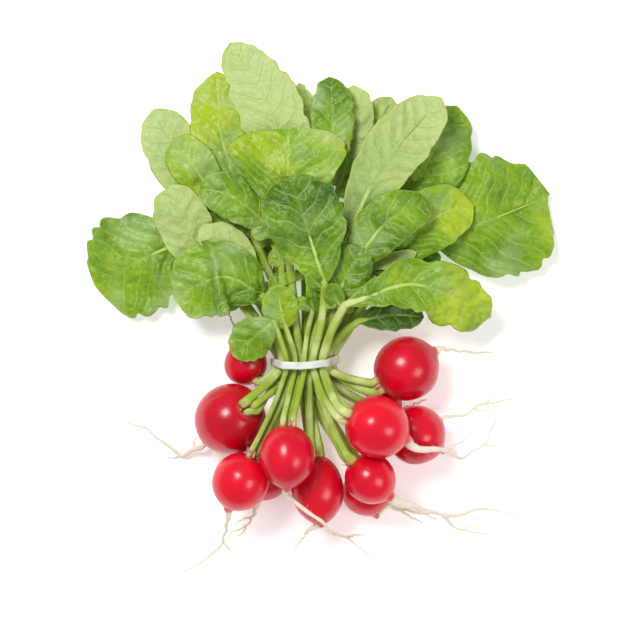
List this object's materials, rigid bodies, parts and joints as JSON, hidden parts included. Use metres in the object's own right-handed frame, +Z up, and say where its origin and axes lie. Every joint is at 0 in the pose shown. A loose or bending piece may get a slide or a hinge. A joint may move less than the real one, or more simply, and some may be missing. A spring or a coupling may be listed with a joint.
{
  "type": "bunch of radishes",
  "caption": "Bunch of round red radishes with their taproots and leafy tops, held round the stems by a rubber band, lying flat.",
  "frame": {"origin": "on the surface it lies on, at the middle of the bounding box's bottom face", "axes": "+Y from the taproots towards the leaf tips, +X to the right seen from above with the leaves away from the viewer, +Z up from the surface"},
  "size_m": [0.2344, 0.2702, 0.0609],
  "materials": {
    "radish_skin": "smooth, slightly glossy living skin",
    "leaf": "soft, slightly glossy green leaf",
    "rubber_band": "matt white"
  },
  "bodies": {
    "root": {"radish_beside_band_left": "radish_skin", "radish_left_large": "radish_skin", "radish_front_left": "radish_skin", "radish_front_centre": "radish_skin", "radish_under_left": "radish_skin", "radish_bottom_centre": "radish_skin", "radish_under_right": "radish_skin", "radish_front_right_low": "radish_skin", "radish_front_right_high": "radish_skin", "radish_right": "radish_skin", "radish_beside_band_right": "radish_skin", "radish_small_tucked": "radish_skin", "leaf_far_right": "leaf", "leaf_under_right": "leaf", "leaf_upper_left": "leaf", "leaf_under_left": "leaf", "leaf_top_sliver": "leaf", "leaf_far_left": "leaf", "leaf_top_left": "leaf", "leaf_small_round": "leaf", "leaf_back_right": "leaf", "leaf_top_right_small": "leaf", "leaf_top_pale_tip": "leaf", "leaf_left_pale": "leaf", "leaf_right_pale": "leaf", "leaf_top_tall": "leaf", "leaf_top_dark_tip": "leaf", "leaf_left_tucked": "leaf", "leaf_thin_right": "leaf", "leaf_long_rolled": "leaf", "leaf_left_oval": "leaf", "leaf_folded_wide": "leaf", "leaf_right_pointed": "leaf", "leaf_lower_left": "leaf", "leaf_lower_right_shaded": "leaf", "leaf_right_serrated": "leaf", "leaf_small_triangle": "leaf", "leaf_small_heart": "leaf", "leaf_centre_dark": "leaf", "leaf_small_serrated": "leaf", "leaf_right_arching": "leaf", "rubber_band": "rubber_band"}
  },
  "joints": []
}
